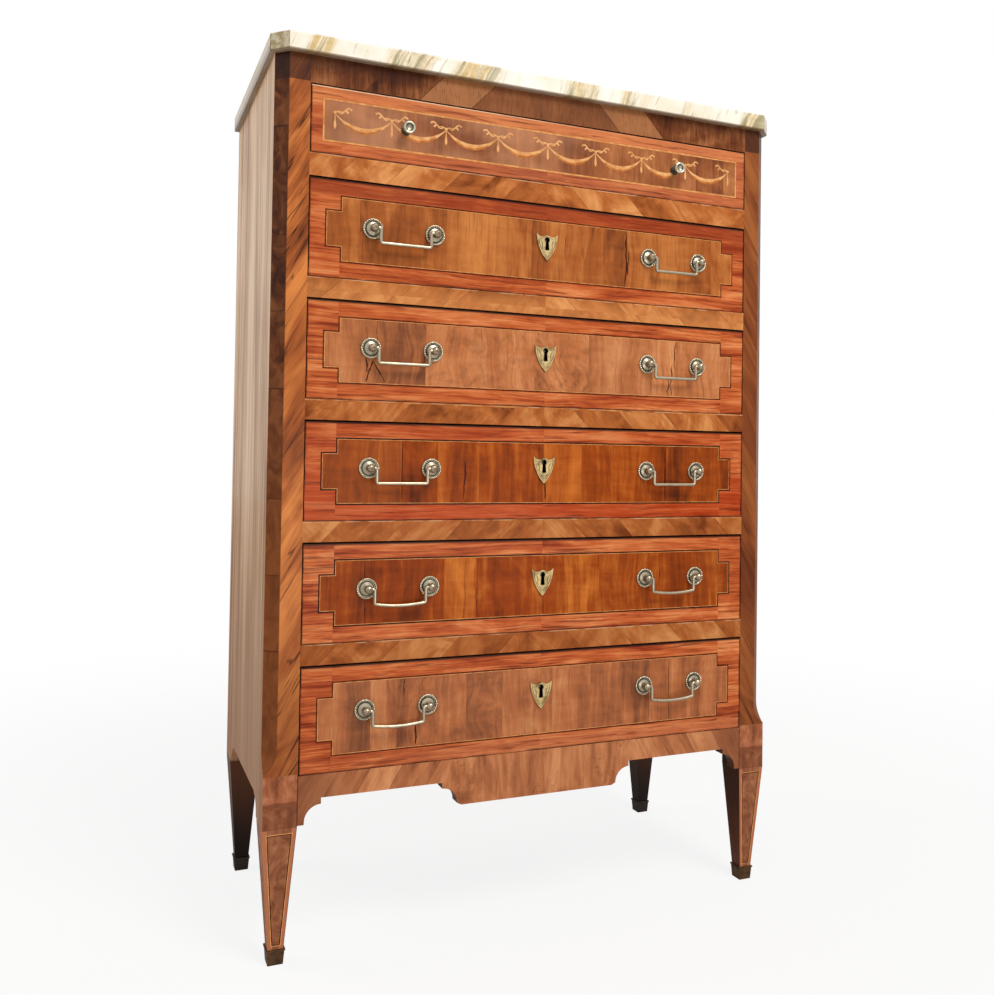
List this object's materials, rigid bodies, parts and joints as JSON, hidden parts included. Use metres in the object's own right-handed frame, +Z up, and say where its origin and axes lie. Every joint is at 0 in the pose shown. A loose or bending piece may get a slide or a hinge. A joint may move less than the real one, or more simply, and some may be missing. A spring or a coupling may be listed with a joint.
{
  "type": "chest of drawers",
  "caption": "Tall narrow chest of drawers with a marble slab, canted posts on tapered legs, a shaped apron, sliding drawers with swinging bail handles, and drawer locks.",
  "frame": {"origin": "middle of the bottom of the box round the closed chest, on the floor", "axes": "+X to the right seen from the front, +Y to the back, +Z up"},
  "size_m": [0.902, 0.438, 1.38],
  "materials": {
    "marble": "polished",
    "veneer": "french polish",
    "front_veneer": "french polish",
    "oak": "bare planed wood",
    "brass": "aged, polished by use",
    "sabot_metal": "dark patina",
    "iron": "dull black"
  },
  "bodies": {
    "case": {"marble_top": "marble", "front_left_post": "veneer", "front_right_post": "veneer", "rear_posts": "veneer", "sabots": "sabot_metal", "left_side_panel": "veneer", "right_side_panel": "veneer", "back_boards": "oak", "front_rails": "veneer", "front_apron": "veneer", "drawer_runners": "oak"},
    "drawer_1": {"drawer_1_front": "front_veneer", "drawer_1_box": "oak", "drawer_1_bottom": "oak", "drawer_1_knobs": "brass"},
    "drawer_2": {"drawer_2_front": "front_veneer", "drawer_2_box": "oak", "drawer_2_bottom": "oak", "drawer_2_handle_posts": "brass", "drawer_2_escutcheon": "brass", "drawer_2_lock": "iron"},
    "drawer_2_left_bail": {"drawer_2_left_bail": "brass"},
    "drawer_2_right_bail": {"drawer_2_right_bail": "brass"},
    "drawer_2_lock_bolt": {"drawer_2_lock_bolt": "iron"},
    "drawer_3": {"drawer_3_front": "front_veneer", "drawer_3_box": "oak", "drawer_3_bottom": "oak", "drawer_3_handle_posts": "brass", "drawer_3_escutcheon": "brass", "drawer_3_lock": "iron"},
    "drawer_3_left_bail": {"drawer_3_left_bail": "brass"},
    "drawer_3_right_bail": {"drawer_3_right_bail": "brass"},
    "drawer_3_lock_bolt": {"drawer_3_lock_bolt": "iron"},
    "drawer_4": {"drawer_4_front": "front_veneer", "drawer_4_box": "oak", "drawer_4_bottom": "oak", "drawer_4_handle_posts": "brass", "drawer_4_escutcheon": "brass", "drawer_4_lock": "iron"},
    "drawer_4_left_bail": {"drawer_4_left_bail": "brass"},
    "drawer_4_right_bail": {"drawer_4_right_bail": "brass"},
    "drawer_4_lock_bolt": {"drawer_4_lock_bolt": "iron"},
    "drawer_5": {"drawer_5_front": "front_veneer", "drawer_5_box": "oak", "drawer_5_bottom": "oak", "drawer_5_handle_posts": "brass", "drawer_5_escutcheon": "brass", "drawer_5_lock": "iron"},
    "drawer_5_left_bail": {"drawer_5_left_bail": "brass"},
    "drawer_5_right_bail": {"drawer_5_right_bail": "brass"},
    "drawer_5_lock_bolt": {"drawer_5_lock_bolt": "iron"},
    "drawer_6": {"drawer_6_front": "front_veneer", "drawer_6_box": "oak", "drawer_6_bottom": "oak", "drawer_6_handle_posts": "brass", "drawer_6_escutcheon": "brass", "drawer_6_lock": "iron"},
    "drawer_6_left_bail": {"drawer_6_left_bail": "brass"},
    "drawer_6_right_bail": {"drawer_6_right_bail": "brass"},
    "drawer_6_lock_bolt": {"drawer_6_lock_bolt": "iron"}
  },
  "joints": [
    {"name": "drawer_1_slide", "type": "slide", "parent": "case", "child": "drawer_1", "axis": [0, -1, 0], "range_m": [0, 0.29]},
    {"name": "drawer_2_slide", "type": "slide", "parent": "case", "child": "drawer_2", "axis": [0, -1, 0], "range_m": [0, 0.29]},
    {"name": "drawer_2_left_bail_swing", "type": "hinge", "parent": "drawer_2", "child": "drawer_2_left_bail", "pos_m": [-0.24328, -0.21, 1.0994], "axis": [-1, 0, 0], "range_deg": [-22, 202]},
    {"name": "drawer_2_right_bail_swing", "type": "hinge", "parent": "drawer_2", "child": "drawer_2_right_bail", "pos_m": [0.24328, -0.21, 1.0994], "axis": [-1, 0, 0], "range_deg": [-22, 202]},
    {"name": "drawer_2_lock_bolt_slide", "type": "slide", "parent": "drawer_2", "child": "drawer_2_lock_bolt", "axis": [0, 0, 1], "range_m": [0, 0.007]},
    {"name": "drawer_3_slide", "type": "slide", "parent": "case", "child": "drawer_3", "axis": [0, -1, 0], "range_m": [0, 0.29]},
    {"name": "drawer_3_left_bail_swing", "type": "hinge", "parent": "drawer_3", "child": "drawer_3_left_bail", "pos_m": [-0.24328, -0.21, 0.9164], "axis": [-1, 0, 0], "range_deg": [-22, 202]},
    {"name": "drawer_3_right_bail_swing", "type": "hinge", "parent": "drawer_3", "child": "drawer_3_right_bail", "pos_m": [0.24328, -0.21, 0.9164], "axis": [-1, 0, 0], "range_deg": [-22, 202]},
    {"name": "drawer_3_lock_bolt_slide", "type": "slide", "parent": "drawer_3", "child": "drawer_3_lock_bolt", "axis": [0, 0, 1], "range_m": [0, 0.007]},
    {"name": "drawer_4_slide", "type": "slide", "parent": "case", "child": "drawer_4", "axis": [0, -1, 0], "range_m": [0, 0.29]},
    {"name": "drawer_4_left_bail_swing", "type": "hinge", "parent": "drawer_4", "child": "drawer_4_left_bail", "pos_m": [-0.24328, -0.21, 0.7334], "axis": [-1, 0, 0], "range_deg": [-22, 202]},
    {"name": "drawer_4_right_bail_swing", "type": "hinge", "parent": "drawer_4", "child": "drawer_4_right_bail", "pos_m": [0.24328, -0.21, 0.7334], "axis": [-1, 0, 0], "range_deg": [-22, 202]},
    {"name": "drawer_4_lock_bolt_slide", "type": "slide", "parent": "drawer_4", "child": "drawer_4_lock_bolt", "axis": [0, 0, 1], "range_m": [0, 0.007]},
    {"name": "drawer_5_slide", "type": "slide", "parent": "case", "child": "drawer_5", "axis": [0, -1, 0], "range_m": [0, 0.29]},
    {"name": "drawer_5_left_bail_swing", "type": "hinge", "parent": "drawer_5", "child": "drawer_5_left_bail", "pos_m": [-0.24328, -0.21, 0.5504], "axis": [-1, 0, 0], "range_deg": [-22, 202]},
    {"name": "drawer_5_right_bail_swing", "type": "hinge", "parent": "drawer_5", "child": "drawer_5_right_bail", "pos_m": [0.24328, -0.21, 0.5504], "axis": [-1, 0, 0], "range_deg": [-22, 202]},
    {"name": "drawer_5_lock_bolt_slide", "type": "slide", "parent": "drawer_5", "child": "drawer_5_lock_bolt", "axis": [0, 0, 1], "range_m": [0, 0.007]},
    {"name": "drawer_6_slide", "type": "slide", "parent": "case", "child": "drawer_6", "axis": [0, -1, 0], "range_m": [0, 0.29]},
    {"name": "drawer_6_left_bail_swing", "type": "hinge", "parent": "drawer_6", "child": "drawer_6_left_bail", "pos_m": [-0.24328, -0.21, 0.3674], "axis": [-1, 0, 0], "range_deg": [-22, 202]},
    {"name": "drawer_6_right_bail_swing", "type": "hinge", "parent": "drawer_6", "child": "drawer_6_right_bail", "pos_m": [0.24328, -0.21, 0.3674], "axis": [-1, 0, 0], "range_deg": [-22, 202]},
    {"name": "drawer_6_lock_bolt_slide", "type": "slide", "parent": "drawer_6", "child": "drawer_6_lock_bolt", "axis": [0, 0, 1], "range_m": [0, 0.007]}
  ]
}
